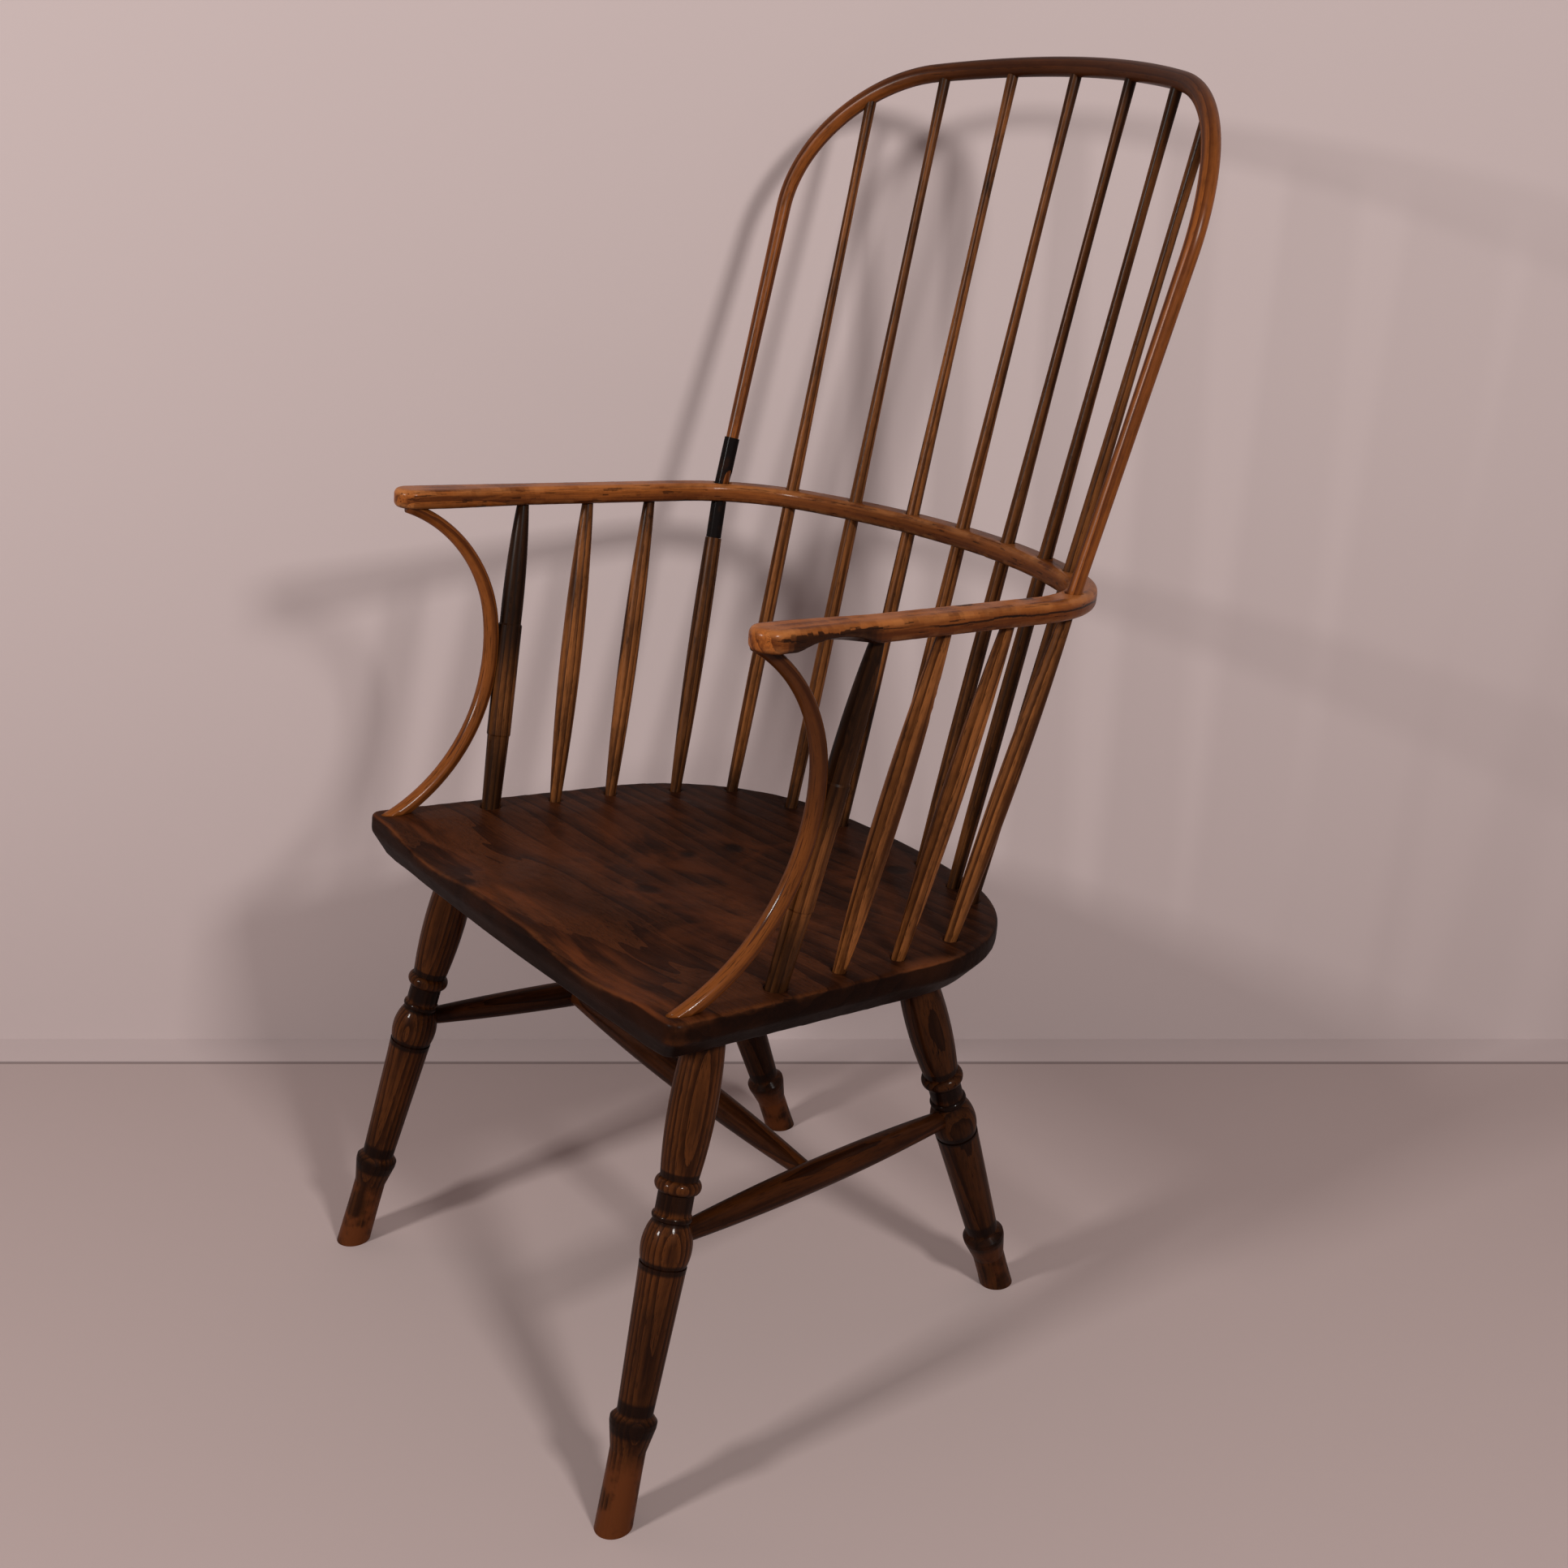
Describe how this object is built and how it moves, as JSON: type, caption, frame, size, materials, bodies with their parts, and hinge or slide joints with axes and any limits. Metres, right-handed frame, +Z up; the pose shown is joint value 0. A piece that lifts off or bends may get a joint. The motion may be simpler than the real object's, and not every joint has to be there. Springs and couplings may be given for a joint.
{
  "type": "double bow windsor armchair",
  "caption": "High-backed wooden armchair: steam-bent back hoop and arm bow over a saddled plank seat, slender sticks, bent arm crooks, turned legs and an H of stretchers.",
  "frame": {"origin": "on the floor, under the middle of the chair's bounding box", "axes": "+Z up, -Y towards the front edge of the seat, +X towards the sitter's left hand"},
  "size_m": [0.5549, 0.6647, 1.0564],
  "materials": {
    "seat_elm": "waxed, dark with worn reddish patches",
    "bow_wood": "waxed, reddish brown with worn edges",
    "stick_wood": "waxed, dark mottled brown",
    "turned_wood": "waxed, dark brown",
    "old_iron": "blackened, dull"
  },
  "bodies": {
    "root": {"arm_bow": "bow_wood", "arm_crook_left": "bow_wood", "arm_crook_right": "bow_wood", "arm_post_left": "stick_wood", "arm_post_right": "stick_wood", "arm_stick_left_1": "stick_wood", "arm_stick_left_2": "stick_wood", "arm_stick_right_1": "stick_wood", "arm_stick_right_2": "stick_wood", "back_hoop": "bow_wood", "back_stick_1": "stick_wood", "back_stick_2": "stick_wood", "back_stick_3": "stick_wood", "back_stick_4": "stick_wood", "back_stick_5": "stick_wood", "back_stick_6": "stick_wood", "back_stick_7": "stick_wood", "cross_stretcher": "turned_wood", "hoop_sleeve": "old_iron", "hoop_stick_left": "stick_wood", "hoop_stick_right": "stick_wood", "leg_front_left": "turned_wood", "leg_front_right": "turned_wood", "leg_rear_left": "turned_wood", "leg_rear_right": "turned_wood", "leg_wedges": "turned_wood", "seat": "seat_elm", "side_stretcher_left": "turned_wood", "side_stretcher_right": "turned_wood"}
  },
  "joints": []
}
